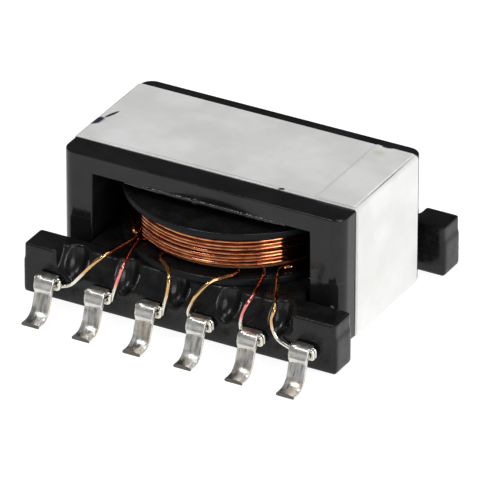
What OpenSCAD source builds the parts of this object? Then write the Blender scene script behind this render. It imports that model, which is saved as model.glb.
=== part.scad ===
// Surface-mount transformer on an ER core, for a printed circuit board.
// Two ferrite halves close round a moulded coil former whose two comb rails carry
// twelve gull-wing terminals. Six windings share the former; their ends are dressed
// over the combs and wrapped on the terminal roots. A white tape holds the core.
// Units are millimetres. The feet stand on z = 0, +X runs along the pin rows,
// +Y points to the back row, and the centre post is on the Z axis.

/* [Ferrite core] */
// Length of the core along the pin rows
core_l = 11; // [10.6:0.1:11.6]
// Width of the core, front to back
core_w = 6; // [5.8:0.1:6.4]
// Height of one core half
core_half_h = 2.45; // [2.4:0.01:2.6]
// Thickness of the back plate of a core half
core_plate = 0.7; // [0.6:0.05:0.8]
// Diameter of the round centre post
post_d = 4.25; // [4:0.05:4.4]
// Distance between the two outer legs at the mouth of the winding window
window_l = 8.5; // [8.4:0.05:8.8]
// Diameter of the scoop that hollows the inner faces of the legs
scoop_d = 8.8; // [8.7:0.05:9.2]
// Radius of the upright corners of the core
core_corner_r = 0.5; // [0.3:0.05:0.7]
// Bevel on the outer long edges of a core half
core_bevel = 0.14; // [0.08:0.01:0.2]
// Thickness of the adhesive between the legs of the two halves
glue_t = 0.03; // [0.02:0.01:0.06]
// Height of the underside of the core above the board
core_lift = 0.5; // [0.35:0.05:0.7]

/* [Coil former] */
// Clearance round the centre post in the bore of the former
bore_clear = 0.1; // [0.05:0.01:0.15]
// Wall of the winding tube
tube_wall = 0.4; // [0.3:0.05:0.45]
// Diameter of the two round flanges
flange_d = 8.3; // [8.2:0.05:8.4]
// Thickness of the upper flange
upper_flange_t = 0.25; // [0.2:0.01:0.3]
// Thickness of the lower flange
lower_flange_t = 0.27; // [0.22:0.01:0.32]
// Height of the winding space between the flanges
winding_h = 1.5; // [1.4:0.05:1.55]
// Length of a comb rail
rail_l = 12.2; // [12:0.1:13]
// Depth of a comb rail, front to back
rail_d = 1.18; // [1.1:0.02:1.4]
// Height of a comb rail
rail_h = 1.93; // [1.8:0.01:2.1]
// Gap between the face of the core and a rail
rail_gap = 0.37; // [0.3:0.01:0.5]
// Height of the underside of the rails above the board
rail_lift = 0.4; // [0.3:0.05:0.5]
// Clearance of the web over the lower plate and beside the legs
web_clear = 0.15; // [0.1:0.01:0.2]
// Width of a wire groove in the comb
groove_w = 1.05; // [0.8:0.05:1.1]
// Depth of a wire groove behind the face of the rail
groove_deep = 0.8; // [0.65:0.05:0.85]
// Depth of a wire groove below the top of the comb
groove_drop = 1; // [0.8:0.05:1.1]
// Distance of the grooves to the left of the middle between two terminals
groove_shift = 0.2; // [0:0.05:0.2]
// Depth of the slope down the face of the comb
slope_deep = 0.6; // [0.4:0.05:0.7]
// Height of that slope
slope_h = 0.85; // [0.6:0.05:0.9]
// Length of that slope beyond the outermost wire grooves
slope_over = 0.08; // [0.04:0.01:0.12]
// Height of the land on the end faces, below the mould's parting line
land_h = 1.25; // [1.1:0.05:1.4]
// Step of that land
land_step = 0.05; // [0.03:0.01:0.08]

/* [Terminals] */
// Number of terminals on each rail
pins_per_rail = 6;
// Pitch of the terminals
pin_pitch = 2; // [1.9:0.02:2.1]
// Width of the terminal strip
strip_w = 0.7; // [0.6:0.02:0.76]
// Thickness of the terminal strip
strip_t = 0.16; // [0.14:0.01:0.2]
// Height of the middle of the terminal root above the board
root_z = 1.17; // [1.1:0.01:1.25]
// Distance from the face of the rail to the front of the upper bend
reach = 0.63; // [0.6:0.01:0.7]
// Distance from the face of the rail to the tip of the foot
foot_reach = 1.5; // [1.46:0.02:1.7]
// Lean of the upright part away from the rail, in degrees
lean = 20; // [14:1:24]
// Radius of the upper bend, on the middle of the strip
upper_bend_r = 0.2; // [0.16:0.01:0.24]
// Radius of the lower bend, on the middle of the strip
lower_bend_r = 0.52; // [0.4:0.02:0.56]
// Length of terminal held in the moulding
anchor = 0.8; // [0.6:0.05:0.95]
// Thickness of the solder over the wrapped wire
solder_t = 0.05; // [0.04:0.01:0.08]
// Thickness of the solder before the wrapped wire
solder_front = 0.17; // [0.12:0.01:0.2]
// Rounding of the solder's upper outer edge
solder_r = 0.09; // [0.04:0.01:0.1]

/* [Windings] */
// Diameter of the enamelled wire
wire_d = 0.14; // [0.12:0.005:0.15]
// Gap between neighbouring turns
turn_gap = 0.005; // [0.004:0.001:0.01]
// Number of windings on the former
windings = 6;
// Thickness of the insulation between two windings
insulation_t = 0.05; // [0.04:0.005:0.055]
// Turns of a wire end round its terminal root
wrap_turns = 1.75; // [1.25:0.5:1.75]
// Clearance of a wire from what it passes
wire_clear = 0.015; // [0.01:0.001:0.02]
// Distance of the wire ends before the face of the rail
lead_stand = 0.1; // [0.08:0.01:0.14]
// Angle in which the outer winding rises to its first turn
rise_sweep = 27; // [20:1:35]
// Angle after the last turn before its end starts down outside the turns
drop_lag = 14; // [12:1:20]

/* [Core tape] */
// Width of the tape
tape_w = 4.45; // [4.2:0.05:4.6]
// Distance of the tape's middle behind the middle of the core
tape_shift = 0.25; // [0.15:0.05:0.3]
// Thickness of one layer
tape_t = 0.03; // [0.02:0.005:0.04]
// Layers all round
tape_layers = 2;
// Distance of the tape's outer end from the right end of the core
seam_inset = 1.55; // [1.2:0.05:2]

/* [Hidden] */
FRONT_PINS = [for (i = [1:pins_per_rail]) i];
ALL_PINS = [for (i = [1:2 * pins_per_rail]) i];
WINDING_NUMBERS = [for (i = [1:windings]) i];
INSULATION_NUMBERS = [for (i = [1:windings - 1]) i];

ferrite = [0.16, 0.16, 0.17];
adhesive = [0.30, 0.29, 0.27];
moulding = [0.09, 0.09, 0.10];
tinned = [0.78, 0.77, 0.74];
solder_grey = [0.83, 0.82, 0.80];
copper = [0.80, 0.47, 0.24];
red_enamel = [0.72, 0.33, 0.28];
clear_film = [0.80, 0.68, 0.40];
white_tape = [0.93, 0.93, 0.91];

round_fn = 96;
wire_sides = 8;
turn_steps = 32;
nudge = 0.01;

// Heights of the core and of the former above the board
core_mid_z = core_lift + core_half_h;
core_top_z = core_mid_z + glue_t + core_half_h;
window_floor_z = core_lift + core_plate;
rail_top_z = rail_lift + rail_h;
lower_flange_z = rail_top_z + lower_flange_t;
upper_flange_z = lower_flange_z + winding_h;
former_top_z = upper_flange_z + upper_flange_t;

// Plan sizes of the former
bore_d = post_d + 2 * bore_clear;
tube_r = bore_d / 2 + tube_wall;
flange_r = flange_d / 2;
rail_in = core_w / 2 + rail_gap;
rail_out = rail_in + rail_d;
web_l = window_l - 2 * web_clear;

// Terminal strip: middle line of its side view, from the root to the tip of the foot
root_y = rail_out - anchor;
upright_y = rail_out + reach - strip_t / 2;
bend_y = upright_y - upper_bend_r;
turn_angle = 90 - lean;
bend_steps = 6;
foot_z = strip_t / 2;
bend_end = [bend_y + upper_bend_r * sin(turn_angle),
    root_z - upper_bend_r * (1 - cos(turn_angle))];
lower_drop = lower_bend_r * (1 - cos(turn_angle));
upright_l = (bend_end[1] - foot_z - lower_drop) / sin(turn_angle);
lower_start = bend_end + upright_l * [cos(turn_angle), -sin(turn_angle)];
lower_centre = lower_start + lower_bend_r * [sin(turn_angle), cos(turn_angle)];
foot_tip_y = rail_out + foot_reach;

// Windings: radii from the tube outwards, and the layer under them for the wire ends
layer_step = wire_d + insulation_t + 2 * wire_clear / 3;
lead_z = lower_flange_z + wire_d / 2 + wire_clear / 3;
coil_z = lead_z + wire_d / 2 + wire_clear;
turn_pitch = wire_d + turn_gap;
coil_travel = upper_flange_z - wire_clear - wire_d - coil_z;
turns = floor(coil_travel / turn_pitch - 0.5) + 0.5;
outer_coil_r = coil_radius(windings) / cos(180 / turn_steps);
lead_ring_r = outer_coil_r + wire_d + wire_clear;
wrap_start_y = rail_out + wire_d / 2 + wire_clear;
wrap_corner_r = wire_d / 2 + wire_clear;

// Dressing of the six wire ends on a rail. A row holds the angle at which the end leaves
// its coil, the side of the root that it meets, the step of its wrap at which it joins,
// its place over the comb [along, back] and its points before the face [along, up].
// Along is in half pitches from its pin, back in rail depths behind the face, and up in
// heights of the comb over the root
DRESSING = [
    [228, 1, 1, [2.15, 0.15], [[1.83, 1.06], [1.29, 0.5], [0.88, 0.1]]],
    [232, 1, 0, [0.77, 0.46], [[0.93, 1.17], [0.78, 0.8], [0.61, 0.37]]],
    [252, 1, 0, [0.46, 0.2], [[0.74, 1.11], [0.67, 0.66], [0.56, 0.3]]],
    [296, -1, 0, [0.22, 0.13], [[-0.15, 0.92], [-0.42, 0.48], [-0.5, 0.22]]],
    [310, -1, 0, [-0.18, 0.42], [[-0.16, 1.12], [-0.36, 0.74], [-0.46, 0.33]]],
    [318, -1, 1, [-1.45, 0.42], [[-1.15, 1.1], [-1.26, 0.75], [-1.19, 0.39], [-0.94, 0.11]]]
];

function coil_radius(n) = tube_r + wire_clear + wire_d / 2 + (n - 1) * layer_step;
function pin_x(pin) = (pin - (pins_per_rail + 1) / 2) * pin_pitch;
function on_circle(r, a, z) = [r * cos(a), r * sin(a), z];
// A winding takes the pair of pins that lie the same distance from the ends of its rail
function first_pin(n) = pins_per_rail / 2 - (n - 1) % (windings / 2);
function last_pin(n) = pins_per_rail + 1 - first_pin(n);

// Points on a smooth curve through the points p, with steps pieces between neighbours
function smooth(p, steps) = concat(
    [for (i = [0:len(p) - 2], k = [0:steps - 1])
        spline(p[max(i - 1, 0)], p[i], p[i + 1], p[min(i + 2, len(p) - 1)], k / steps)],
    [p[len(p) - 1]]
);
function spline(a, b, c, d, t) = (
    2 * b + (c - a) * t + (2 * a - 5 * b + 4 * c - d) * t * t
    + (3 * b - a - 3 * c + d) * t * t * t) / 2;

// Unit direction of a path at its point i, and its side direction carried along
function unit(v) = v / norm(v);
function heading(p, i) = unit(p[min(i + 1, len(p) - 1)] - p[max(i - 1, 0)]);
function squared(v, t) = unit(v - (v * t) * t);
function off_axis(t) = abs(t[2]) < 0.8 ? [0, 0, 1] : [1, 0, 0];
function carried(p) = [
    for (i = 0, s = squared(off_axis(heading(p, 0)), heading(p, 0)); i < len(p);
        i = i + 1, s = i < len(p) ? squared(s, heading(p, i)) : s) s
];

// Wire of diameter d along the path p
module wire(p, d) {
    sides = carried(p);
    rings = [for (i = [0:len(p) - 1], k = [0:wire_sides - 1])
        p[i] + d / 2 * (cos(360 * k / wire_sides) * sides[i]
            + sin(360 * k / wire_sides) * cross(heading(p, i), sides[i]))];
    last = (len(p) - 1) * wire_sides;
    polyhedron(rings, concat(
        [[for (k = [0:wire_sides - 1]) k]],
        [for (i = [0:len(p) - 2], k = [0:wire_sides - 1]) let (
            a = i * wire_sides + k,
            b = i * wire_sides + (k + 1) % wire_sides
        ) each [[a, b + wire_sides, b], [a, a + wire_sides, b + wire_sides]]],
        [[for (k = [wire_sides - 1:-1:0]) last + k]]
    ));
}

// Plan outline of the core
module core_plan() {
    in_l = core_l / 2 - core_corner_r;
    in_w = core_w / 2 - core_corner_r;
    square([core_l, 2 * in_w], center = true);
    square([2 * in_l, core_w], center = true);
    for (x = [-in_l, in_l], y = [-in_w, in_w])
        translate([x, y]) circle(core_corner_r, $fn = round_fn);
}

// Plan outline of the two outer legs
module leg_plan() {
    difference() {
        core_plan();
        square([window_l, core_w + 1], center = true);
        circle(d = scoop_d, $fn = round_fn);
    }
}

// Side view of a half, with bevels on its outer edges
module bevelled(l, h) {
    polygon([
        [-l / 2 + core_bevel, 0], [l / 2 - core_bevel, 0], [l / 2, core_bevel], [l / 2, h],
        [-l / 2, h], [-l / 2, core_bevel]
    ]);
}

// One half, plate down and legs up
module core_half() {
    intersection() {
        union() {
            linear_extrude(core_plate) core_plan();
            linear_extrude(core_half_h) leg_plan();
            cylinder(d = post_d, h = core_half_h, $fn = round_fn);
        }
        rotate([90, 0, 0])
            linear_extrude(core_w + 2, center = true) bevelled(core_l, core_half_h);
        rotate([90, 0, 90])
            linear_extrude(core_l + 2, center = true) bevelled(core_w, core_half_h);
    }
}

module core_lower() {
    color(ferrite) translate([0, 0, core_lift]) core_half();
}

module core_upper() {
    color(ferrite) translate([0, 0, core_top_z]) mirror([0, 0, 1]) core_half();
}

// Adhesive between the legs, on the left (-1) or the right (1)
module core_adhesive(side) {
    color(adhesive) translate([0, 0, core_mid_z]) linear_extrude(glue_t) intersection() {
        leg_plan();
        translate([side * core_l / 2, 0]) square([core_l, core_w + 1], center = true);
    }
}

// Section of a rail, seen from its end: y runs outwards from the core
module rail_section() {
    translate([rail_in, rail_lift]) square([rail_d, rail_h]);
}

// Slope along the top of the comb, between the two end blocks
module comb_slope_cut() {
    comb_l = (pins_per_rail - 2) * pin_pitch + groove_w + 2 * slope_over;
    translate([groove_shift, 0, 0]) rotate([90, 0, 90])
        linear_extrude(comb_l, center = true)
            translate([rail_out, rail_top_z]) scale([slope_deep, slope_h])
                polygon([[nudge, nudge], [nudge, -1 - nudge], [-1 - nudge, nudge]]);
}

// Wire groove: a long scoop, open to the front and the top
module groove() {
    translate([groove_shift, rail_out, rail_top_z])
        scale([groove_w / 2, groove_deep, groove_drop]) sphere(r = 1, $fn = round_fn / 4 + 2);
}

// One comb rail with its end lands, on the +Y side
module rail() {
    difference() {
        union() {
            rotate([90, 0, 90]) linear_extrude(rail_l, center = true) rail_section();
            translate([-rail_l / 2 - land_step, rail_in + land_step, rail_lift + land_step])
                cube([rail_l + 2 * land_step, rail_d - 2 * land_step, land_h]);
        }
        comb_slope_cut();
        for (pin = [1:pins_per_rail - 1])
            translate([pin_x(pin) + pin_pitch / 2, 0, 0]) groove();
        for (pin = FRONT_PINS) translate([pin_x(pin), 0, 0]) terminal_anchor();
    }
}

// The part of a terminal strip that the moulding holds
module terminal_anchor() {
    translate([-strip_w / 2, root_y, root_z - strip_t / 2])
        cube([strip_w, anchor + nudge, strip_t]);
}

// Tube, two round flanges, the web over the lower plate and the two comb rails
module coil_former() {
    color(moulding) difference() {
        union() {
            translate([0, 0, lower_flange_z - nudge])
                cylinder(r = tube_r, h = winding_h + 2 * nudge, $fn = round_fn);
            translate([0, 0, rail_top_z - nudge])
                cylinder(r = flange_r, h = lower_flange_t + nudge, $fn = round_fn);
            translate([0, 0, upper_flange_z])
                cylinder(r = flange_r, h = upper_flange_t, $fn = round_fn);
            translate([-web_l / 2, -rail_in - nudge, window_floor_z + web_clear])
                cube([web_l, 2 * (rail_in + nudge), rail_top_z - window_floor_z - web_clear]);
            for (turn = [0, 180]) rotate([0, 0, turn]) rail();
        }
        cylinder(d = bore_d, h = former_top_z + 1, $fn = round_fn);
    }
}

// Side view of the strip: each point of the middle line, moved to one side by s
function arc_strip(centre, r, from, to, s) = [
    for (i = [0:bend_steps]) let (a = from + (to - from) * i / bend_steps)
        centre + (r + s) * [cos(a), sin(a)]
];
function strip_edge(s) = concat(
    [[root_y, root_z + s]],
    arc_strip([bend_y, root_z - upper_bend_r], upper_bend_r, 90, 90 - turn_angle, s),
    arc_strip(lower_centre, lower_bend_r, 270 - turn_angle, 270, -s),
    [[foot_tip_y, foot_z + s]]
);
function reversed(p) = [for (i = [len(p) - 1:-1:0]) p[i]];

module strip_side() {
    polygon(concat(strip_edge(strip_t / 2), reversed(strip_edge(-strip_t / 2))));
}

// Places a piece drawn on the +Y side before the pin it belongs to
module at_pin(pin) {
    front = pin <= pins_per_rail;
    rotate([0, 0, front ? 180 : 0])
        translate([-pin_x(front ? pin : pin - pins_per_rail), 0, 0]) children();
}

module terminal(pin) {
    color(tinned) at_pin(pin)
        rotate([90, 0, 90]) linear_extrude(strip_w, center = true) strip_side();
}

// Solder over the wrapped wire and down before it on the shoulder of the terminal
module solder(pin) {
    wrap_end_y = wrap_start_y + wrap_turns * turn_pitch + wire_d / 2 + wire_clear;
    wrap_top_z = root_z + strip_t / 2 + wrap_corner_r + wire_d / 2 + wire_clear;
    cap_front = wrap_end_y + solder_front;
    cap_top = wrap_top_z + solder_t;
    color(solder_grey) at_pin(pin) rotate([90, 0, 90])
        linear_extrude(strip_w - 2 * wire_clear, center = true) difference() {
            union() {
                translate([wrap_start_y, root_z])
                    square([cap_front - solder_r - wrap_start_y, cap_top - root_z]);
                translate([wrap_start_y, root_z - strip_t / 2])
                    square([cap_front - wrap_start_y, cap_top - solder_r - root_z + strip_t / 2]);
                translate([cap_front - solder_r, cap_top - solder_r])
                    circle(solder_r, $fn = round_fn / 4);
            }
            translate([0, root_z - reach]) square([wrap_end_y, wrap_top_z - root_z + reach]);
            strip_side();
        }
}

// Wire wrapped on a root at the pin x, from a step of its first turn, downwards on that side
function wrap(x, side, from) = [
    for (i = [from:12 * wrap_turns]) let (
        corner = floor(i / 3) % 4,
        a = 90 * corner + 45 * (i % 3),
        cx = (corner == 0 || corner == 3 ? 1 : -1) * strip_w / 2,
        cz = (corner < 2 ? -1 : 1) * strip_t / 2
    ) [
        x + side * (cx + wrap_corner_r * cos(a)),
        -wrap_start_y - turn_pitch * i / 12,
        root_z + cz - wrap_corner_r * sin(a)
    ]
];

// End of a wire, from the ring outside the coils to the root of its pin on the front rail
function lead_way(pin) = let (
    row = DRESSING[pin - 1],
    x = pin_x(pin),
    along = pin_pitch / 2,
    up = rail_top_z - root_z,
    face_y = -rail_out - lead_stand - wire_d / 2,
    wound = wrap(x, row[1], row[2])
) concat(
    smooth(concat(
        [on_circle(lead_ring_r, row[0], lead_z)],
        [[x + row[3][0] * along, -rail_out + row[3][1] * rail_d, lead_z]],
        [for (p = row[4]) [x + p[0] * along, face_y, root_z + p[1] * up]],
        [wound[0]]
    ), 3),
    [for (i = [1:len(wound) - 1]) wound[i]]
);
// The same, from a coil of radius r
function lead(pin, r) = concat(
    [for (z = [coil_z + wire_d / 2, lead_z]) on_circle(r, DRESSING[pin - 1][0], z)],
    lead_way(pin)
);

// The outer coil: from one lead up the turns, then down outside them to the other lead
function outer_coil() = let (
    rise_from = DRESSING[last_pin(windings) - 1][0],
    start = rise_from + rise_sweep,
    end = start + 360 * turns,
    lag_end = end + drop_lag,
    drop_sweep = (DRESSING[first_pin(windings) - 1][0] + 360 * ceil(turns + 2) - lag_end) % 360,
    first_z = coil_z + wire_d / 2,
    last_z = first_z + turn_pitch * turns
) concat(
    reversed(lead(last_pin(windings), outer_coil_r)),
    [for (t = [1 / 3, 2 / 3])
        on_circle(outer_coil_r, rise_from + rise_sweep * t, lead_z + (first_z - lead_z) * t)],
    [for (i = [0:turn_steps * turns])
        on_circle(outer_coil_r, start + 360 * i / turn_steps, first_z + turn_pitch * i / turn_steps)],
    [for (t = [0:1 / 5:4 / 5])
        on_circle(lead_ring_r, lag_end + drop_sweep * t, last_z + (lead_z - last_z) * t)],
    lead_way(first_pin(windings))
);

// Inner coil: its turns lie closed up between two films, as one sleeve
module inner_coil(r) {
    translate([0, 0, coil_z]) difference() {
        cylinder(r = r + wire_d / 2, h = coil_travel + wire_d, $fn = round_fn);
        translate([0, 0, -1])
            cylinder(r = r - wire_d / 2, h = coil_travel + wire_d + 2, $fn = round_fn);
    }
}

// Windings count from the tube outwards; the inner three end on the back rail
module winding(n) {
    r = coil_radius(n);
    color(n == windings - 1 ? red_enamel : copper) {
        if (n == windings) {
            wire(outer_coil(), wire_d);
        } else {
            inner_coil(r);
            rotate([0, 0, n > windings / 2 ? 0 : 180]) {
                wire(lead(first_pin(n), r), wire_d);
                wire(lead(last_pin(n), r), wire_d);
            }
        }
    }
}

// Film wrapped over winding n
module insulation(n) {
    r = coil_radius(n) + wire_d / 2 + wire_clear / 3;
    color(clear_film) translate([0, 0, coil_z]) difference() {
        cylinder(r = r + insulation_t, h = upper_flange_z - coil_z, $fn = round_fn);
        translate([0, 0, -1])
            cylinder(r = r, h = upper_flange_z - coil_z + 2, $fn = round_fn);
    }
}

// Outline of the core's long side, grown by g all round
module tape_outline(g) {
    l = core_l / 2 + g;
    b = core_bevel + g * (2 - sqrt(2));
    polygon([
        [-l + b, core_lift - g], [l - b, core_lift - g], [l, core_lift - g + b],
        [l, core_top_z + g - b], [l - b, core_top_z + g], [-l + b, core_top_z + g],
        [-l, core_top_z + g - b], [-l, core_lift - g + b]
    ]);
}

// White tape round the core, with its outer end laid over the top near the right end
module core_tape() {
    thick = tape_layers * tape_t;
    flap_x = core_l / 2 - seam_inset;
    color(white_tape) translate([0, tape_shift, 0]) rotate([90, 0, 0])
        linear_extrude(tape_w, center = true) {
            difference() {
                tape_outline(thick);
                tape_outline(0);
            }
            translate([flap_x, core_top_z + thick - nudge / 10])
                square([core_l / 2 - core_bevel - flap_x, tape_t + nudge / 10]);
        }
}

core_lower();
core_upper();
core_adhesive(-1);  // core_adhesive_left
core_adhesive(1);  // core_adhesive_right
coil_former();
for (i = ALL_PINS) {
    terminal(i);
    solder(i);
}
for (i = WINDING_NUMBERS) {
    winding(i);
}
for (i = INSULATION_NUMBERS) {
    insulation(i);
}
core_tape();
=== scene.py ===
import math
import random
import bpy
import bmesh
from mathutils import Matrix, Vector


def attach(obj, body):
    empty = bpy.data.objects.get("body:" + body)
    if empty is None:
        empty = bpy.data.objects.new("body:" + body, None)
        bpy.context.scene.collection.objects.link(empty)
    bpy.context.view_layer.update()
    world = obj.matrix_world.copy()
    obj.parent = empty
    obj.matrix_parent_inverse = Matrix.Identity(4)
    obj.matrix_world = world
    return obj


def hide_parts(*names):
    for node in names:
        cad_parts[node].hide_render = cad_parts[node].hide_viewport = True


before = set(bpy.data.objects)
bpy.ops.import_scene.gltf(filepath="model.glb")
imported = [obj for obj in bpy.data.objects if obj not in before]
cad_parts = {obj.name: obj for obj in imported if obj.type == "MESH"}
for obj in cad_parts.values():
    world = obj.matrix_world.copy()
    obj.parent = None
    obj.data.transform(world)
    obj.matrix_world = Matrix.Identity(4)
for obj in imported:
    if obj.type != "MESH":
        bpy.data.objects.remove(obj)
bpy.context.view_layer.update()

# ---------------------------------------------------------------- the table and the light tent
# The transformer stands on a lit white table. A soft key light hangs in front on its left,
# one hangs over it and one stands at its right end; the tent is dim, and dimmest behind.
table_bm = bmesh.new()
bmesh.ops.create_grid(table_bm, x_segments=1, y_segments=1, size=1.5)
table_mesh = bpy.data.meshes.new("table_top")
table_bm.to_mesh(table_mesh)
table_bm.free()
table = bpy.data.objects.new("table_top", table_mesh)
bpy.context.scene.collection.objects.link(table)

white_sheet = bpy.data.materials.new("white_sheet")
white_sheet.use_nodes = True
sheet = white_sheet.node_tree.nodes["Principled BSDF"]
sheet.inputs["Base Color"].default_value = (0.30, 0.30, 0.30, 1)
sheet.inputs["Roughness"].default_value = 0.9
sheet.inputs["Specular IOR Level"].default_value = 0.1
sheet.inputs["Emission Color"].default_value = (1, 1, 1, 1)
sheet.inputs["Emission Strength"].default_value = 0.93
table_mesh.materials.append(white_sheet)

# a long lens that looks down at the transformer over its right front corner
camera_data = bpy.data.cameras.new("camera")
camera_data.sensor_width = 36
camera_data.lens = 645.732
camera_data.clip_start = 0.01
camera_data.clip_end = 10
camera = bpy.data.objects.new("camera", camera_data)
bpy.context.scene.collection.objects.link(camera)
turn, rise, tilt = math.radians(28.868), math.radians(28.763), math.radians(0.151)
aim, camera_far = Vector((0.107, -0.357, 2.066)) / 1000, 0.2977
backward = Vector((math.sin(turn) * math.cos(rise), -math.cos(turn) * math.cos(rise),
                   math.sin(rise)))
rightward = Vector((math.cos(turn), math.sin(turn), 0))
upward = backward.cross(rightward)
across = math.cos(tilt) * rightward + math.sin(tilt) * upward
up = -math.sin(tilt) * rightward + math.cos(tilt) * upward
camera.matrix_world = Matrix.Translation(aim + backward * camera_far) @ Matrix(
    (across, up, backward)).transposed().to_4x4()
bpy.context.scene.camera = camera
bpy.context.scene.view_settings.view_transform = "Standard"


def put(tree, kind, **values):
    """One node: its settings and named inputs are given as the node calls them."""
    made = tree.nodes.new(kind)
    for key, value in values.items():
        if hasattr(made, key):
            setattr(made, key, value)
        else:
            made.inputs[key.replace("_", " ")].default_value = value
    return made


def between(tree, value, start, end, low=0.0, high=1.0):
    """Low where the value is at its start, and high where it is at its end."""
    made = put(tree, "ShaderNodeMapRange", From_Min=start, From_Max=end, To_Min=low, To_Max=high)
    tree.links.new(value, made.inputs["Value"])
    return made.outputs["Result"]


tent = bpy.data.worlds.new("tent")
bpy.context.scene.world = tent
tent.use_nodes = True
tree = tent.node_tree
sky = tree.nodes["Background"]
sky.inputs["Color"].default_value = (0.96, 0.98, 1.0, 1)
facing = put(tree, "ShaderNodeVectorMath", operation="DOT_PRODUCT")
facing.inputs[1].default_value = (-0.42, 0.77, 0.48)
tree.links.new(put(tree, "ShaderNodeTexCoord").outputs["Generated"], facing.inputs[0])
tree.links.new(between(tree, facing.outputs["Value"], 0.3, 0.9, 0.25, 0.09),
               sky.inputs["Strength"])


def hang_light(name, place, width, height, glow):
    """A soft box at a place in metres, turned to the part, glow times as bright as paper."""
    lamp = bpy.data.lights.new(name, "AREA")
    lamp.shape = "RECTANGLE"
    lamp.size, lamp.size_y = width, height
    lamp.energy = glow * math.pi * width * height
    box = bpy.data.objects.new(name, lamp)
    turned_to_part = Vector(place).to_track_quat("Z", "Y").to_matrix().to_4x4()
    box.matrix_world = Matrix.Translation(place) @ turned_to_part
    bpy.context.scene.collection.objects.link(box)


hang_light("light_key", (-0.15, -0.24, 0.52), 0.13, 0.16, 14.6)
hang_light("light_over", (0.12, 0.08, 0.58), 0.26, 0.26, 3.9)
hang_light("light_right", (0.54, -0.25, 0.24), 0.34, 0.30, 6.6)

# ---------------------------------------------------------------- ferrite core
# Two pressed and fired ferrite halves: a plate with a centre post and two outer legs that
# are scooped to clear the winding. The mating faces are ground; the edges are tumbled.
MM = 0.001  # every size below is in millimetres, and make_piece turns it into metres
core_l, core_w, half_h, plate_t = 11.0, 6.0, 2.45, 0.70
post_d, window_l, scoop_d, corner_r, tumbled_r = 4.25, 8.5, 8.8, 0.5, 0.07
core_foot, core_top = 0.50, 5.43


def block(low, high):
    """A plain block between two corners."""
    bm = bmesh.new()
    bmesh.ops.create_cube(bm, size=1)
    low, high = Vector(low), Vector(high)
    bmesh.ops.scale(bm, vec=high - low, verts=bm.verts)
    bmesh.ops.translate(bm, vec=(low + high) / 2, verts=bm.verts)
    return bm


def turned(r, low, high, sides=96):
    """A round bar on the part's axis, standing between two heights."""
    bm = bmesh.new()
    bmesh.ops.create_cone(bm, cap_ends=True, segments=sides, radius1=r, radius2=r,
                          depth=high - low)
    bmesh.ops.translate(bm, vec=(0, 0, (low + high) / 2), verts=bm.verts)
    return bm


def loose(bm, name="blank"):
    """A bmesh as an object of its own."""
    mesh = bpy.data.meshes.new(name)
    bm.to_mesh(mesh)
    bm.free()
    obj = bpy.data.objects.new(name, mesh)
    bpy.context.scene.collection.objects.link(obj)
    return obj


def worked(obj):
    """What an object's modifiers make of it."""
    bpy.context.view_layer.update()
    result = bmesh.new()
    result.from_object(obj, bpy.context.evaluated_depsgraph_get())
    return result


def fit_together(stock, tools, how="DIFFERENCE"):
    """The stock with the tools cut out of it or joined to it."""
    work = loose(stock)
    used = [work]
    for tool in tools:
        cutter = loose(tool)
        used.append(cutter)
        step = work.modifiers.new("step", "BOOLEAN")
        step.operation, step.solver, step.object = how, "EXACT", cutter
    result = worked(work)
    for obj in used:
        bpy.data.objects.remove(obj)
    bmesh.ops.remove_doubles(result, verts=result.verts, dist=0.0005)
    bmesh.ops.dissolve_limit(result, angle_limit=math.radians(0.6), verts=result.verts,
                             edges=result.edges)
    return result


def add_to(bm, other):
    """Lays another body into the same mesh, as it stands."""
    mesh = bpy.data.meshes.new("added")
    other.to_mesh(mesh)
    other.free()
    bm.from_mesh(mesh)
    bpy.data.meshes.remove(mesh)


def round_edges(bm, width, steps, only=None):
    """Rounds the edges that turn by more than 40 degrees."""
    edges = [e for e in bm.edges if len(e.link_faces) == 2
             and e.calc_face_angle(0) > math.radians(40) and (only is None or only(e))]
    bmesh.ops.bevel(bm, geom=edges, offset=width, segments=steps, profile=0.5, affect="EDGES",
                    material=-1, clamp_overlap=True)


def make_piece(bm, name, finish, nodes, smooth_to=40):
    """A finished piece in metres that rides on the part and stands for CAD nodes.

    Edges that turn by more than smooth_to degrees stay sharp.
    """
    bmesh.ops.recalc_face_normals(bm, faces=bm.faces)
    bmesh.ops.scale(bm, vec=(MM, MM, MM), verts=bm.verts)
    obj = loose(bm, name)
    obj.data.shade_smooth()
    obj.data.set_sharp_from_angle(angle=math.radians(smooth_to))
    for each in finish if isinstance(finish, list) else [finish]:
        obj.data.materials.append(each)
    even = obj.modifiers.new("even_shading", "WEIGHTED_NORMAL")
    even.keep_sharp = True
    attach(obj, "root")
    if nodes:
        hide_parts(*nodes)


def new_finish(name, color, roughness, metallic=0.0, ior=1.5):
    """A finish with the values that are the same all over it."""
    mat = bpy.data.materials.new(name)
    mat.use_nodes = True
    skin = mat.node_tree.nodes["Principled BSDF"]
    skin.inputs["Base Color"].default_value = (*color, 1)
    skin.inputs["Roughness"].default_value = roughness
    skin.inputs["Metallic"].default_value = metallic
    skin.inputs["IOR"].default_value = ior
    return mat, mat.node_tree, skin


def place_of(tree, stretch=(1, 1, 1)):
    """Object coordinates in metres, stretched along the axes."""
    where = tree.nodes.new("ShaderNodeTexCoord")
    mapping = tree.nodes.new("ShaderNodeMapping")
    mapping.inputs["Scale"].default_value = stretch
    tree.links.new(where.outputs["Object"], mapping.inputs["Vector"])
    return mapping.outputs["Vector"]


def grain(tree, where, per_mm, detail=4.0, roughness=0.55):
    """Noise with so many features to the millimetre."""
    made = put(tree, "ShaderNodeTexNoise", Scale=per_mm * 1000.0, Detail=detail,
               Roughness=roughness)
    tree.links.new(where, made.inputs["Vector"])
    return made.outputs["Fac"]


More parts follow.
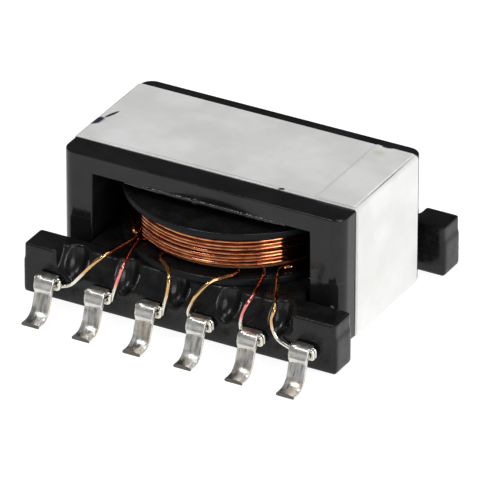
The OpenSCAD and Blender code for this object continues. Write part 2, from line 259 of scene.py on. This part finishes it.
def ramp(tree, source, low, high, low_at=0.3, high_at=0.7):
    """A soft change from one colour or grey to another, as the source goes up."""
    made = tree.nodes.new("ShaderNodeValToRGB")
    made.color_ramp.interpolation = "EASE"
    stops = ((low_at, low), (high_at, high))
    for element, (place, shade) in zip(made.color_ramp.elements, stops):
        element.position = place
        element.color = (*shade, 1) if isinstance(shade, tuple) else (shade, shade, shade, 1)
    tree.links.new(source, made.inputs["Fac"])
    return made.outputs["Color"]


def raised(tree, skin, height, depth_mm, below=None):
    """Relief of a depth in millimetres."""
    made = put(tree, "ShaderNodeBump", Strength=1.0, Distance=depth_mm * MM)
    tree.links.new(height, made.inputs["Height"])
    if below:
        tree.links.new(below, made.inputs["Normal"])
    tree.links.new(made.outputs["Normal"], skin.inputs["Normal"])
    return made.outputs["Normal"]


ferrite, tree, skin = new_finish("ferrite", (0.009, 0.009, 0.009), 0.1, ior=1.38)
spot = place_of(tree)
tree.links.new(ramp(tree, grain(tree, spot, 0.9, 3), (0.006, 0.006, 0.0065), (0.011, 0.011, 0.012)),
               skin.inputs["Base Color"])
tree.links.new(ramp(tree, grain(tree, spot, 2.2, 5), 0.09, 0.19), skin.inputs["Roughness"])
raised(tree, skin, grain(tree, spot, 28, 3, 0.7), 0.0002)


def core_half():
    """One half, plate down, with its mating faces at the top, where no edge is rounded."""
    body = block((-core_l / 2, -core_w / 2, 0), (core_l / 2, core_w / 2, half_h))
    upright = [e for e in body.edges if abs(e.verts[0].co.z - e.verts[1].co.z) > half_h / 2]
    bmesh.ops.bevel(body, geom=upright, offset=corner_r, segments=10, profile=0.5,
                    affect="EDGES", material=-1)
    body = fit_together(body, [
        block((-window_l / 2, -core_w, plate_t), (window_l / 2, core_w, half_h + 1)),
        turned(scoop_d / 2, plate_t, half_h + 1)])
    ground_z = half_h - 0.001
    round_edges(body, tumbled_r, 4, lambda e: min(v.co.z for v in e.verts) < ground_z)
    add_to(body, turned(post_d / 2, plate_t - 0.05, half_h))
    return body


lower = core_half()
bmesh.ops.translate(lower, vec=(0, 0, core_foot), verts=lower.verts)
make_piece(lower, "ferrite_lower", ferrite, ["core_lower"])
upper = core_half()
bmesh.ops.scale(upper, vec=(1, 1, -1), verts=upper.verts)
bmesh.ops.translate(upper, vec=(0, 0, core_top), verts=upper.verts)
make_piece(upper, "ferrite_upper", ferrite, ["core_upper"])

# ---------------------------------------------------------------- adhesive between the halves
# A thin line of dark epoxy between the ground ends of the legs. It fills the joint flush
# with their faces, so it shows only as a fine line of another gloss.
glue, tree, skin = new_finish("dark_epoxy", (0.015, 0.014, 0.013), 0.2)
raised(tree, skin, grain(tree, place_of(tree), 6), 0.002)


def refinish(node_name, finish):
    """A better finish for a CAD node whose shape stays as it is."""
    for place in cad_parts[node_name].material_slots:
        place.material = finish


refinish("core_adhesive_left", glue)
refinish("core_adhesive_right", glue)

# ---------------------------------------------------------------- coil former
# Moulded in black liquid-crystal polymer: a tube between two thin round flanges, on a web
# that joins the two comb rails. It is dipped in varnish with the windings, so it shines,
# apart from the thin rims of the flanges, which the varnish draws back from.
bore_r, tube_r, flange_r = 2.225, 2.625, 4.15
rail_l, rail_in, rail_out, rail_foot, rail_top = 12.2, 3.37, 4.55, 0.40, 2.33
land_step, land_top = 0.05, 1.70
flange_low, flange_up, former_top = 2.60, 4.10, 4.35
web_half, web_foot, web_lap = 4.10, 1.35, 0.02
groove_w, groove_deep, groove_drop, groove_shift = 1.05, 0.8, 1.0, 0.2
slope_deep, slope_h, slope_over = 0.6, 0.85, 0.08
pin_pitch, pins = 2.0, 6

moulding, tree, skin = new_finish("black_moulding", (0.008, 0.008, 0.008), 0.2, ior=1.34)
spot = place_of(tree)
tree.links.new(ramp(tree, grain(tree, spot, 1.4, 4), (0.005, 0.005, 0.005), (0.011, 0.011, 0.011)),
               skin.inputs["Base Color"])
tree.links.new(ramp(tree, grain(tree, spot, 3.0, 5), 0.16, 0.34, 0.35, 0.65),
               skin.inputs["Roughness"])
relief = raised(tree, skin, grain(tree, spot, 1.6, 2), 0.012)
raised(tree, skin, grain(tree, spot, 9, 3), 0.001, relief)
rim_finish, tree, skin = new_finish("black_rim", (0.008, 0.0095, 0.0105), 0.5, ior=1.2)
raised(tree, skin, grain(tree, place_of(tree), 5), 0.004)


def pin_x(pin):
    """Place of a terminal along its rail, counted from the left of its own row."""
    return (pin - (pins + 1) / 2) * pin_pitch


def to_back_row(bm):
    """Turns a body of the front row half round the part's axis, to the back row."""
    bmesh.ops.rotate(bm, cent=(0, 0, 0), matrix=Matrix.Rotation(math.pi, 3, "Z"),
                     verts=bm.verts)


def softened(bm, cell, passes):
    """The same body recast on a grid of small cells, with all its edges rounded, as varnish
    and solder leave them.
    """
    draft = loose(bm)
    melt = draft.modifiers.new("melt", "REMESH")
    melt.mode, melt.voxel_size = "VOXEL", cell
    calm = draft.modifiers.new("calm", "SMOOTH")
    calm.factor, calm.iterations = 0.5, passes
    result = worked(draft)
    bpy.data.objects.remove(draft)
    return result


def comb_rail():
    """The front rail, with its end lands, sloped comb and scooped grooves."""
    rail = fit_together(
        block((-rail_l / 2, -rail_out, rail_foot), (rail_l / 2, -rail_in, rail_top)),
        [block((-rail_l / 2 - land_step, -rail_out + land_step, rail_foot + land_step),
               (rail_l / 2 + land_step, -rail_in - land_step, land_top))], "UNION")
    comb_half = (pins - 2) * pin_pitch / 2 + groove_w / 2 + slope_over
    slope = block((-comb_half, -2, 0), (comb_half, 2, 2))
    bmesh.ops.rotate(slope, cent=(0, 0, 0), verts=slope.verts,
                     matrix=Matrix.Rotation(math.atan2(slope_h, slope_deep), 3, "X"))
    bmesh.ops.translate(slope, verts=slope.verts,
                        vec=(-groove_shift, -rail_out + slope_deep / 2, rail_top - slope_h / 2))
    tools = [slope]
    for pin in range(1, pins):
        scoop = bmesh.new()
        bmesh.ops.create_uvsphere(scoop, u_segments=48, v_segments=32, radius=1)
        bmesh.ops.scale(scoop, vec=(groove_w / 2, groove_deep, groove_drop), verts=scoop.verts)
        bmesh.ops.translate(scoop, verts=scoop.verts,
                            vec=(pin_x(pin) + pin_pitch / 2 - groove_shift, -rail_out, rail_top))
        tools.append(scoop)
    return softened(fit_together(rail, tools), 0.04, 36)


for name in ("rail_front", "rail_back"):
    rail = comb_rail()
    if name == "rail_back":
        to_back_row(rail)
    make_piece(rail, name, moulding, (), smooth_to=180)

web = fit_together(block((-web_half, -rail_in - web_lap, web_foot),
                         (web_half, rail_in + web_lap, rail_top)), [turned(bore_r, 0, 5)])
round_edges(web, 0.03, 2)
make_piece(web, "former_web", moulding, ())
spool = fit_together(turned(flange_r, rail_top, flange_low, 160),
                     [turned(tube_r, rail_top, former_top, 160),
                      turned(flange_r, flange_up, former_top, 160)], "UNION")
spool = fit_together(spool, [turned(bore_r, 0, 6)])
round_edges(spool, 0.05, 3)
for f in spool.faces:
    far_out = f.calc_center_median().xy.length > flange_r - 0.02
    f.material_index = 1 if far_out and abs(f.normal.z) < 0.5 else 0
make_piece(spool, "spool", [moulding, rim_finish], ["coil_former"])

# ---------------------------------------------------------------- terminals
# Stamped from phosphor bronze strip, tinned and bent to a gull wing. The strip is moulded
# into the rail; its cut end shows the darker core metal under the tin.
strip_w, strip_t, root_z, reach, foot_reach, lean = 0.7, 0.16, 1.17, 0.63, 1.5, 20
bend_up_r, bend_low_r, anchor = 0.20, 0.52, 0.8
tin_crown, strip_edge = 0.055, 0.03


def tinted(tree, share, first, second):
    """The first colour, and more of the second as the share goes up: sockets or colours."""
    made = put(tree, "ShaderNodeMix", data_type="RGBA")
    for number, value in ((0, share), (6, first), (7, second)):
        if isinstance(value, tuple):
            made.inputs[number].default_value = (*value, 1)
        else:
            tree.links.new(value, made.inputs[number])
    return made.outputs[2]


tinned, tree, skin = new_finish("tinned_strip", (0.72, 0.71, 0.67), 0.3, metallic=1.0)
spot = place_of(tree)
streak = grain(tree, place_of(tree, (1, 0.25, 0.18)), 9, 4)
stain = ramp(tree, grain(tree, spot, 1.6, 3), 0.0, 0.75, 0.45, 0.7)
bright = ramp(tree, streak, (0.58, 0.58, 0.56), (0.80, 0.79, 0.76), 0.35, 0.65)
tree.links.new(tinted(tree, stain, bright, (0.74, 0.64, 0.52)), skin.inputs["Base Color"])
tree.links.new(ramp(tree, streak, 0.22, 0.42), skin.inputs["Roughness"])
relief = raised(tree, skin, grain(tree, spot, 2.2, 2), 0.015)
raised(tree, skin, streak, 0.0008, relief)

cut_end, tree, skin = new_finish("cut_end", (0.12, 0.11, 0.10), 0.5, metallic=1.0)
raised(tree, skin, grain(tree, place_of(tree), 20), 0.01)


def pushed_on(bm, edges):
    """Pushes an open section out by one step: its new points and edges."""
    got = bmesh.ops.extrude_edge_only(bm, edges=edges)["geom"]
    ring = [g for g in got if isinstance(g, bmesh.types.BMVert)]
    return ring, [g for g in got if isinstance(g, bmesh.types.BMEdge)
                  and g.verts[0] in ring and g.verts[1] in ring]


def strip():
    """A terminal of the front row at x = 0, from its anchor to the tip of its foot.

    Its section is pushed along the bends. The tin stands crowned on its outer face.
    """
    w, t = strip_w / 2, strip_t / 2
    side_top = t - tin_crown - strip_edge
    section = [(-w + strip_edge, -t), (w - strip_edge, -t), (w, strip_edge - t), (w, side_top)]
    section += [(w * k / 6, t - tin_crown * k * k / 36)
                for k in (5.6, 5, 4, 3, 2, 1, 0, -1, -2, -3, -4, -5, -5.6)]
    section += [(-w, side_top), (-w, strip_edge - t)]
    bend_y = -(rail_out + reach - t - bend_up_r)
    low = math.radians(90 - lean)

    def outward(a):
        return Vector((-math.sin(a), math.cos(a)))

    # the stations from the rail to the tip: (y, z) and how far the strip is bent down there
    way = [(Vector((-rail_out + anchor, root_z)), 0)]
    way += [(Vector((bend_y, root_z - bend_up_r)) + bend_up_r * outward(low * k / 8), low * k / 8)
            for k in range(9)]
    end = way[-1][0]
    length = (end.y - t - bend_low_r * (1 - math.cos(low))) / math.sin(low)
    centre = end - length * Vector((math.cos(low), math.sin(low))) + bend_low_r * outward(low)
    way += [(centre - bend_low_r * outward(low * k / 12), low * k / 12)
            for k in range(12, -1, -1)]
    way += [(Vector((-(rail_out + foot_reach), t)), 0)]

    bm = bmesh.new()
    ring = [bm.verts.new((x, way[0][0].x, way[0][0].y + h)) for x, h in section]
    edges = [bm.edges.new((a, b)) for a, b in zip(ring, ring[1:] + ring[:1])]
    bmesh.ops.contextual_create(bm, geom=ring)
    for (here, bent), (onto, bent_next) in zip(way, way[1:]):
        ring, edges = pushed_on(bm, edges)
        bmesh.ops.rotate(bm, cent=(0, *here), verts=ring,
                         matrix=Matrix.Rotation(bent_next - bent, 3, "X"))
        bmesh.ops.translate(bm, vec=(0, *(onto - here)), verts=ring)
    bmesh.ops.contextual_create(bm, geom=edges)
    return bm


for pin in range(1, 2 * pins + 1):
    piece = strip()
    for f in piece.faces:
        if f.calc_center_median().y < -(rail_out + foot_reach) + 0.004:
            f.material_index = 1
    bmesh.ops.translate(piece, vec=(pin_x((pin - 1) % pins + 1), 0, 0), verts=piece.verts)
    if pin > pins:
        to_back_row(piece)
    make_piece(piece, f"strip_{pin}", [tinned, cut_end], [f"terminal_{pin}"])

# ---------------------------------------------------------------- windings
# Enamelled copper wire wound in six layers with film between them. Each end runs under its
# coil over the lower flange, is dressed over the comb and wrapped on the root of its pin.
wire_d, turn_gap, film_t, clear = 0.14, 0.005, 0.05, 0.015
layer = wire_d + film_t + 2 * clear / 3
lead_z = flange_low + wire_d / 2 + clear / 3
coil_z = lead_z + wire_d / 2 + clear
pitch = wire_d + turn_gap
travel = flange_up - clear - wire_d - coil_z
turns = math.floor(travel / pitch - 0.5) + 0.5
wrap_turns, wrap_y, wrap_r = 1.75, -(rail_out + wire_d / 2 + clear), wire_d / 2 + clear
lead_stand = 0.1
rise_sweep, drop_lag = 27, 14
turn_steps, sway_knots, sway_out, sway_up = 72, 4, 0.04, 0.035

# How the end at each pin of a row is dressed: the angle where it leaves the ring round the
# coils, the side of the root and the step where its wrap starts, the point over the comb
# (along the rail, share of its depth), and the points before its face (along, share up).
DRESSING = {
    1: (228, 1, 1, (2.15, 0.15), ((1.83, 1.06), (1.29, 0.50), (0.88, 0.10))),
    2: (232, 1, 0, (0.77, 0.46), ((0.93, 1.17), (0.78, 0.80), (0.61, 0.37))),
    3: (252, 1, 0, (0.46, 0.20), ((0.74, 1.11), (0.67, 0.66), (0.56, 0.30))),
    4: (296, -1, 0, (0.22, 0.13), ((-0.15, 0.92), (-0.42, 0.48), (-0.50, 0.22))),
    5: (310, -1, 0, (-0.18, 0.42), ((-0.16, 1.12), (-0.36, 0.74), (-0.46, 0.33))),
    6: (318, -1, 1, (-1.45, 0.42), ((-1.15, 1.10), (-1.26, 0.75), (-1.19, 0.39), (-0.94, 0.11)))}


def coil_r(n):
    """Radius of a coil, counted from the tube."""
    return tube_r + clear + wire_d / 2 + (n - 1) * layer


ring_r = coil_r(6) + wire_d + clear


def around(r, degrees, z):
    """A point at a radius, an angle and a height."""
    a = math.radians(degrees)
    return Vector((r * math.cos(a), r * math.sin(a), z))


def smooth_run(points, steps):
    """A smooth run of wire through the points where it is held."""
    out = []
    for i in range(len(points) - 1):
        a, b = points[max(i - 1, 0)], points[i]
        c, d = points[i + 1], points[min(i + 2, len(points) - 1)]
        for k in range(steps):
            t = k / steps
            out.append((2 * b + (c - a) * t + (2 * a - 5 * b + 4 * c - d) * t * t
                        + (3 * b - a - 3 * c + d) * t * t * t) / 2)
    return out + [points[-1]]


def wrap(x, side, first_step):
    """The wire's turns on the root of a pin: a quarter round each corner, straight between."""
    out = []
    for i in range(2 * first_step, int(24 * wrap_turns) + 1):
        corner = (i // 6) % 4
        a = math.radians(90 * corner + 15 * (i % 6) * 1.2)
        cx = (1 if corner in (0, 3) else -1) * strip_w / 2
        cz = (-1 if corner < 2 else 1) * strip_t / 2
        out.append(Vector((x + side * (cx + wrap_r * math.cos(a)), wrap_y - pitch * i / 24,
                           root_z + cz - wrap_r * math.sin(a))))
    return out


def dressed_end(pin, coming):
    """One end of a winding on the front rail, from where it comes to the ring to its pin."""
    leave, side, first_step, over, before = DRESSING[pin]
    x, height = pin_x(pin), rail_top - root_z
    wound = wrap(x, side, first_step)
    held = coming + [around(ring_r, leave, lead_z),
                     Vector((x + over[0], -rail_out + over[1] * (rail_out - rail_in), lead_z))]
    held += [Vector((x + along, -rail_out - lead_stand - wire_d / 2, root_z + high * height))
             for along, high in before]
    return smooth_run(held + [wound[0]], 8) + wound[1:]


def draw_wire(bm, path, d, sides=12):
    """Draws a round wire along a path by pushing its section from point to point."""
    ring = bmesh.ops.create_circle(bm, cap_ends=False, radius=d / 2, segments=sides)["verts"]
    edges = list(dict.fromkeys(e for v in ring for e in v.link_edges))
    start = list(edges)
    heading, here = Vector((0, 0, 1)), Vector((0, 0, 0))
    for i, p in enumerate(path):
        ahead = (path[min(i + 1, len(path) - 1)] - path[max(i - 1, 0)]).normalized()
        if i:
            ring, edges = pushed_on(bm, edges)
        bmesh.ops.rotate(bm, cent=here, verts=ring,
                         matrix=heading.rotation_difference(ahead).to_matrix())
        bmesh.ops.translate(bm, vec=p - here, verts=ring)
        heading, here = ahead, p.copy()
    bmesh.ops.edgeloop_fill(bm, edges=start)
    bmesh.ops.edgeloop_fill(bm, edges=edges)


def roughened(tree, value, noise, amount):
    """A value with some noise added, so that what it bounds has a ragged edge."""
    made = put(tree, "ShaderNodeMath", operation="MULTIPLY_ADD")
    tree.links.new(noise, made.inputs[0])
    made.inputs[1].default_value = amount
    tree.links.new(value, made.inputs[2])
    return made.outputs[0]


def enamel(name, deep, pale, lead_sheen):
    """Enamelled wire, tinned where it was dipped in solder, and painted paler past the ring round
    the coils as a painted highlight on the lit leads.
    """
    mat, tree, skin = new_finish(name, pale, 0.25, metallic=1.0)
    spot = place_of(tree)
    wound = ramp(tree, grain(tree, place_of(tree, (1, 1, 4)), 2.5, 4), deep, pale)
    from_axis = put(tree, "ShaderNodeVectorMath", operation="LENGTH")
    tree.links.new(place_of(tree, (1, 1, 0)), from_axis.inputs[0])
    past_ring = between(tree, from_axis.outputs["Value"],
                        (ring_r - 0.05) * MM, (ring_r + 0.25) * MM)
    split = tree.nodes.new("ShaderNodeSeparateXYZ")
    tree.links.new(spot, split.inputs[0])
    height = roughened(tree, split.outputs["Z"], grain(tree, spot, 1.2, 3), 0.6 * MM)
    undipped = between(tree, height, 1.8 * MM, 2.2 * MM)
    tree.links.new(tinted(tree, undipped, (0.74, 0.72, 0.64),
                          tinted(tree, past_ring, wound, lead_sheen)), skin.inputs["Base Color"])
    tree.links.new(ramp(tree, grain(tree, spot, 5, 4), 0.07, 0.14), skin.inputs["Roughness"])
    raised(tree, skin, grain(tree, spot, 7, 2), 0.0005)
    return mat


# the last colour of each wire is a painted highlight: it makes the leads past the ring paler than
# the coils
copper = enamel("copper_wire", (0.34, 0.09, 0.045), (0.66, 0.28, 0.125), (0.62, 0.38, 0.16))
red_wire = enamel("red_wire", (0.42, 0.08, 0.06), (0.72, 0.22, 0.17), (0.76, 0.24, 0.22))

film, tree, skin = new_finish("clear_film", (0.16, 0.07, 0.03), 0.25)
raised(tree, skin, grain(tree, place_of(tree), 3), 0.002)


def hidden_coil(n):
    """A coil under the outermost one: a sleeve of closed-up turns, with both its ends."""
    coil, r = bmesh.new(), coil_r(n)
    low_pin = 3 - (n - 1) % 3
    for pin in (low_pin, pins + 1 - low_pin):
        leave = DRESSING[pin][0]
        off_coil = [around(r, leave, coil_z + 0.04), around(r + 0.03, leave, lead_z + 0.02)]
        draw_wire(coil, dressed_end(pin, off_coil), wire_d)
    if n <= 3:
        to_back_row(coil)
    add_to(coil, fit_together(
        turned(r + wire_d / 2, coil_z, coil_z + travel + wire_d),
        [turned(r - wire_d / 2, coil_z - 1, coil_z + travel + 1)]))
    return coil


def outer_coil():
    """The coil that is open to view, turn by turn, swaying a little between its two ends."""
    coil, r = bmesh.new(), coil_r(6)
    first_leave, last_leave = DRESSING[6][0], DRESSING[1][0]
    start = first_leave + rise_sweep
    end = start + 360 * turns
    low_z, high_z = coil_z + wire_d / 2, coil_z + wire_d / 2 + pitch * turns
    rise = [around(r + (ring_r - r) * (1 - t), first_leave + rise_sweep * t,
                   lead_z + (low_z - lead_z) * t) for t in (0.9, 0.6, 0.3)]
    path = dressed_end(6, rise)[::-1]
    count = int(turn_steps * turns)
    sway = random.Random(5)
    knots = [sway.uniform(-1, 1) for _ in range(int(turns * sway_knots) + 3)]
    for i in range(count + 1):
        k = i * sway_knots / turn_steps
        wander = knots[int(k)] * (1 - k % 1) + knots[int(k) + 1] * (k % 1)
        room = math.sin(math.pi * i / count)
        path.append(around(r + sway_out * room * abs(wander), start + 360 * i / turn_steps,
                           low_z + pitch * i / turn_steps + sway_up * room * wander))
    drop = (last_leave - end - drop_lag) % 360
    path += dressed_end(1, [around(ring_r, end + drop_lag + drop * k / 12,
                                   high_z + (lead_z - high_z) * k / 12) for k in range(12)])
    draw_wire(coil, path, wire_d)
    return coil


for n in range(1, 7):
    make_piece(outer_coil() if n == 6 else hidden_coil(n), f"coil_{n}",
               red_wire if n == 5 else copper, [f"winding_{n}"],
               smooth_to=60)
for n in range(1, 6):
    refinish(f"insulation_{n}", film)

# ---------------------------------------------------------------- solder on the wrapped ends
# The wraps are dipped in solder. It fills the turns, runs out in a tongue down the shoulder
# of the strip, and stands in a soft round lip on the cap's upper edge.
solder_t, solder_front, solder_side = 0.05, 0.17, 0.03
tongue_from, tongue_share = root_z - 0.09, 0.86
wrap_end = -wrap_y + wrap_turns * pitch + wire_d / 2 + clear
cap_front, cap_half = wrap_end + solder_front, strip_w / 2 + solder_side
cap_top = root_z + strip_t / 2 + wrap_r + wire_d / 2 + clear + solder_t
# (y, z) round the side of the cap: its top, its front, the tongue and the inside
cap_side = ((wrap_y, cap_top), (-cap_front + 0.20, cap_top), (-cap_front + 0.08, cap_top - 0.05),
            (-cap_front + 0.01, cap_top - 0.15), (-cap_front - 0.05, root_z - 0.04),
            (-cap_front - 0.09, root_z - 0.13), (-cap_front - 0.03, root_z - 0.36),
            (-wrap_end - 0.02, root_z - 0.1), (-wrap_end - 0.02, cap_top - 0.09),
            (wrap_y, cap_top - 0.09))

solder, tree, skin = new_finish("dull_solder", (0.66, 0.65, 0.61), 0.36, metallic=1.0)
spot = place_of(tree)
tree.links.new(ramp(tree, grain(tree, spot, 4, 4), (0.60, 0.59, 0.56), (0.74, 0.72, 0.67)),
               skin.inputs["Base Color"])
tree.links.new(ramp(tree, grain(tree, spot, 7, 4), 0.28, 0.44), skin.inputs["Roughness"])
raised(tree, skin, grain(tree, spot, 5, 2), 0.006)

for pin in range(1, 2 * pins + 1):
    chance = random.Random(100 + pin)
    x = pin_x((pin - 1) % pins + 1)
    cap = bmesh.new()
    side = cap.faces.new([cap.verts.new((x - cap_half, y, z)) for y, z in cap_side])
    got = bmesh.ops.extrude_face_region(cap, geom=[side])["geom"]
    bmesh.ops.translate(cap, vec=(2 * cap_half, 0, 0),
                        verts=[g for g in got if isinstance(g, bmesh.types.BMVert)])
    for v in cap.verts:
        if v.co.z < tongue_from:
            v.co.x = x + (v.co.x - x) * tongue_share
    bmesh.ops.recalc_face_normals(cap, faces=cap.faces)
    lip = bmesh.ops.create_icosphere(cap, subdivisions=3, radius=1)["verts"]
    bmesh.ops.scale(cap, vec=(0.12, 0.10, 0.08), verts=lip)
    bmesh.ops.translate(cap, verts=lip, vec=(x - cap_half + 0.09 + chance.uniform(0, 0.05),
                                             -cap_front + 0.16, cap_top - 0.06))
    cap = softened(cap, 0.025, 24)
    if pin > pins:
        to_back_row(cap)
    make_piece(cap, f"solder_coat_{pin}", solder, [f"solder_{pin}"], smooth_to=180)

# ---------------------------------------------------------------- core tape
# Two layers of white polyester tape pulled tight round both halves. Its outer end is laid
# over the top near the right end; a dab of violet marking ink is left at the left end.
tape_half, tape_mid, tape_t, seam_x = 2.225, 0.25, 0.03, 3.95
tape_front, tape_back = tape_mid - tape_half, tape_mid + tape_half
tape_top, tape_bend_r = core_top + 2 * tape_t, 0.12


def marked(tree, paint, middle, reach, tint, turned_by, soft, ragged):
    """The paint with an oval mark of another tint laid on it, given in millimetres."""
    where = tree.nodes.new("ShaderNodeTexCoord").outputs["Object"]
    oval = put(tree, "ShaderNodeMapping", vector_type="TEXTURE",
               Location=[v * MM for v in middle], Rotation=(0, 0, math.radians(turned_by)),
               Scale=[v * MM for v in reach])
    tree.links.new(where, oval.inputs["Vector"])
    off = put(tree, "ShaderNodeVectorMath", operation="LENGTH")
    tree.links.new(oval.outputs["Vector"], off.inputs[0])
    torn = roughened(tree, off.outputs["Value"], grain(tree, where, 5, 4), ragged)
    on_mark = between(tree, torn, 1 + ragged / 2, 1 - soft + ragged / 2)
    return tinted(tree, on_mark, paint, tint)


# middle, half size, tint, turned by, softness and raggedness of each mark on the top
# a painted line of shade where the laid-over end of the tape stops, near the right edge
flap_end_shade = ((5.44, tape_mid, tape_top), (0.035, 2.6, 0.5), (0.22, 0.24, 0.22), 0, 0.8, 0.3)
# a painted shadow along the left edge of the tape's laid-over end
overlap_shade = ((seam_x - 0.01, tape_mid, tape_top), (0.03, 2.4, 0.3), (0.45, 0.44, 0.42), 0, 0.8, 0.9)
# a painted line of shade along the tape's front edge, where it lifts
front_edge_shade = ((0, tape_front + 0.09, tape_top), (6, 0.03, 0.3), (0.45, 0.45, 0.43), 0, 0.9, 0.8)
yellowed = ((4.3, 1.9, tape_top), (0.35, 0.25, 0.3), (0.66, 0.62, 0.50), 0, 0.9, 0.6)
back_speck = ((4.35, 2.42, tape_top), (0.25, 0.09, 0.3), (0.05, 0.05, 0.05), 0, 0.3, 0.6)
front_speck = ((2.6, tape_front + 0.05, tape_top), (0.14, 0.05, 0.3), (0.06, 0.06, 0.06),
               15, 0.4, 0.9)
ink_dab = ((-5.38, -0.70, tape_top), (0.20, 0.38, 0.6), (0.035, 0.02, 0.06), -15, 0.35, 0.8)
ink_stroke = ((-5.14, -0.06, tape_top), (0.08, 0.42, 0.6), (0.035, 0.02, 0.06), -18, 0.35, 0.8)

tape, tree, skin = new_finish("white_tape", (0.80, 0.80, 0.78), 0.42, ior=1.45)
spot = place_of(tree)
paint = ramp(tree, grain(tree, spot, 0.5, 4), (0.72, 0.715, 0.695), (0.83, 0.83, 0.82))
for mark in (flap_end_shade, overlap_shade, front_edge_shade, yellowed, back_speck, front_speck, ink_dab, ink_stroke):
    paint = marked(tree, paint, *mark)
tree.links.new(paint, skin.inputs["Base Color"])
tree.links.new(ramp(tree, grain(tree, spot, 2, 4), 0.36, 0.5), skin.inputs["Roughness"])
relief = raised(tree, skin, grain(tree, spot, 0.9, 3), 0.02)
raised(tree, skin, grain(tree, spot, 20, 2), 0.0006, relief)
skin.inputs["Subsurface Weight"].default_value = 0.15
skin.inputs["Subsurface Radius"].default_value = (0.0002, 0.0002, 0.00018)


def band(outset, low_y, high_y):
    """One layer of tape round the core, a tape's thickness thick."""
    bm = block((-core_l / 2 - outset, low_y, core_foot - outset),
               (core_l / 2 + outset, high_y, core_top + outset))
    ends = [f for f in bm.faces if abs(f.normal.y) > 0.9]
    bmesh.ops.delete(bm, geom=ends, context="FACES_ONLY")
    long_edges = [e for e in bm.edges if len(e.link_faces) == 2]
    bmesh.ops.bevel(bm, geom=long_edges, offset=tape_bend_r + outset, segments=6, profile=0.5,
                    affect="EDGES", material=-1)
    bmesh.ops.recalc_face_normals(bm, faces=bm.faces)
    bmesh.ops.solidify(bm, geom=bm.faces, thickness=-tape_t)
    return bm


# the second layer and the end that lies on it wander a little inside the first one's edges
layers = band(0.0, tape_front, tape_back)
add_to(layers, band(tape_t, tape_front + 0.05, tape_back - 0.03))
add_to(layers, block((seam_x, tape_front + 0.04, tape_top),
                     (core_l / 2 - tape_bend_r, tape_back - 0.05, tape_top + tape_t)))
make_piece(layers, "tape", tape, ["core_tape"])

# ---------------------------------------------------------------- varnish
# The finished part is dipped in clear varnish. It dries to a soft bead between the lower
# front edge of the upper half and the flange, in thin runs along the rims of the comb's
# grooves, and in a droplet at the right end of each rail.
bead_left, bead_l, bead_drops, fat_drop = -2.95, 6.2, 53, 23
rim_points, run_d, droplet_r = 7, 0.1, 0.07

varnish, tree, skin = new_finish("varnish", (0.012, 0.012, 0.011), 0.06, ior=1.6)
raised(tree, skin, grain(tree, place_of(tree), 2), 0.004)


def groove_rim(pin, hand):
    """Points down the rim of the groove after a pin, on its right (1) or its left (-1)."""
    rim = []
    for k in range(rim_points):
        share = 0.95 - 0.14 * k
        away = math.sqrt(1 - (slope_deep * share / groove_deep) ** 2
                         - (slope_h * (1 - share) / groove_drop) ** 2)
        middle = pin_x(pin) + pin_pitch / 2 - groove_shift
        rim.append(Vector((middle + hand * (away * groove_w / 2 + 0.02),
                           -rail_out + slope_deep * share + 0.024,
                           rail_top - slope_h * (1 - share) - 0.018)))
    return rim


for row, seed in (("front", 39), ("back", 41)):
    chance = random.Random(seed)
    bead = bmesh.new()
    for k in range(bead_drops):
        along = k / (bead_drops - 1)
        r = (0.05 + 0.035 * min(1, 6 * along, 6 * (1 - along)) + chance.uniform(0, 0.02)
             + (0.06 if k == fat_drop else 0))
        drop = bmesh.ops.create_icosphere(bead, subdivisions=2, radius=r)["verts"]
        bmesh.ops.translate(bead, verts=drop, vec=(bead_left + bead_l * along,
                                                   -core_w / 2 + 0.02, core_top - plate_t + 0.02))
    bead = softened(bead, 0.028, 10)
    runs = bmesh.new()
    for pin in range(1, pins):
        for hand in ((1,) if pin % 2 else (-1, 1)):
            cut = chance.randint(0, 2)
            rim = groove_rim(pin, hand)[cut:cut + chance.randint(3, 5)]
            draw_wire(runs, smooth_run(rim, 4), run_d, 16)
    drop = bmesh.ops.create_icosphere(runs, subdivisions=3, radius=droplet_r)["verts"]
    bmesh.ops.translate(runs, verts=drop, vec=(5.35, -rail_in - 0.01, rail_top - 0.02))
    if row == "back":
        to_back_row(bead)
        to_back_row(runs)
    make_piece(bead, f"varnish_bead_{row}", varnish, (), smooth_to=180)
    make_piece(runs, f"varnish_runs_{row}", varnish, (), smooth_to=180)
